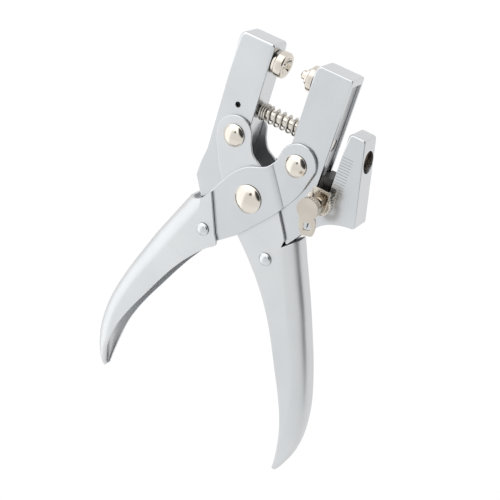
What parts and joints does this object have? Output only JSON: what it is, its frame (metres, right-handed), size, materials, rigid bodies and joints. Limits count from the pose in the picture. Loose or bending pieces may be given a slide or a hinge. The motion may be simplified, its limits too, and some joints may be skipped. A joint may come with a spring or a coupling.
{
  "type": "eyelet and hole punch pliers",
  "caption": "Parallel-jaw hand pliers with sprung guide rod, setting dies at the tips and a side hole punch with sliding depth stop.",
  "frame": {"origin": "main pivot axis, on the plane the tool lies on (the flat of the pivot rivet's back head)", "axes": "+X across the jaws towards the punch arm, +Y along the jaws towards their tips, +Z through the thickness, out of the front face"},
  "size_m": [0.092, 0.1515, 0.0225],
  "materials": {
    "chrome_plate": "bright chrome plate over pressed steel",
    "nickel_plate": "warm bright nickel plate, turned",
    "plain_steel": "dull machined steel",
    "spring_wire": "drawn spring wire",
    "brass": "turned brass, tarnished"
  },
  "bodies": {
    "right_handle": {"right_handle": "chrome_plate", "main_pivot_rivet": "nickel_plate", "main_pivot_spacer": "plain_steel", "right_handle_rivet": "chrome_plate", "right_handle_spacer": "plain_steel", "left_jaw_rivet": "nickel_plate"},
    "left_handle": {"left_handle": "chrome_plate", "left_link_front": "chrome_plate", "left_link_back": "chrome_plate", "left_handle_rivet": "chrome_plate", "left_handle_spacer": "plain_steel", "right_jaw_rivet": "nickel_plate"},
    "left_jaw": {"left_jaw_housing": "chrome_plate", "left_jaw_core": "plain_steel", "left_die": "nickel_plate", "left_die_set_screw": "plain_steel", "guide_rod_punch": "nickel_plate", "rod_cross_pin": "plain_steel", "return_spring": "spring_wire"},
    "right_jaw": {"right_jaw_housing": "chrome_plate", "right_jaw_core": "plain_steel", "right_die": "nickel_plate", "right_die_set_screw": "plain_steel", "punch_arm": "chrome_plate", "punch_die_bush": "brass"},
    "depth_stop": {"stop_slide": "plain_steel", "stop_bracket": "nickel_plate", "stop_collar": "nickel_plate"},
    "lock_nut": {"stop_lock_nut": "nickel_plate"},
    "thumb_screw": {"stop_screw": "nickel_plate", "thumb_nut": "nickel_plate", "thumb_paddle": "nickel_plate"}
  },
  "joints": [
    {"name": "handle_pivot", "type": "hinge", "parent": "right_handle", "child": "left_handle", "pos_m": [0, 0, 0.0081], "axis": [0, 0, 1], "range_deg": [0, 17.6], "stiffness_Nm_per_rad": 0.5, "springref_deg": -28.65, "deforming": ["return_spring"]},
    {"name": "left_jaw_pivot", "type": "hinge", "parent": "right_handle", "child": "left_jaw", "pos_m": [-0.01234, 0.01835, 0.0081], "axis": [0, 0, 1], "range_deg": [0, 8.85]},
    {"name": "right_jaw_pivot", "type": "hinge", "parent": "left_handle", "child": "right_jaw", "pos_m": [0.01234, 0.01835, 0.0081], "axis": [0, 0, 1], "range_deg": [-8.85, 0]},
    {"name": "depth_stop_slide", "type": "slide", "parent": "right_jaw", "child": "depth_stop", "axis": [0, 1, 0], "range_m": [0, 0.0065]},
    {"name": "lock_nut_turn", "type": "hinge", "parent": "depth_stop", "child": "lock_nut", "pos_m": [0.0241, 0.0104, 0.0081], "axis": [0, 0, 1], "continuous": true},
    {"name": "thumb_screw_turn", "type": "hinge", "parent": "depth_stop", "child": "thumb_screw", "pos_m": [0.0241, 0.0104, 0.0081], "axis": [0, 0, 1], "continuous": true}
  ],
  "couplings": [
    {"joint": "left_jaw_pivot", "follows": "handle_pivot", "ratio": 0.5},
    {"joint": "right_jaw_pivot", "follows": "handle_pivot", "ratio": -0.5}
  ]
}
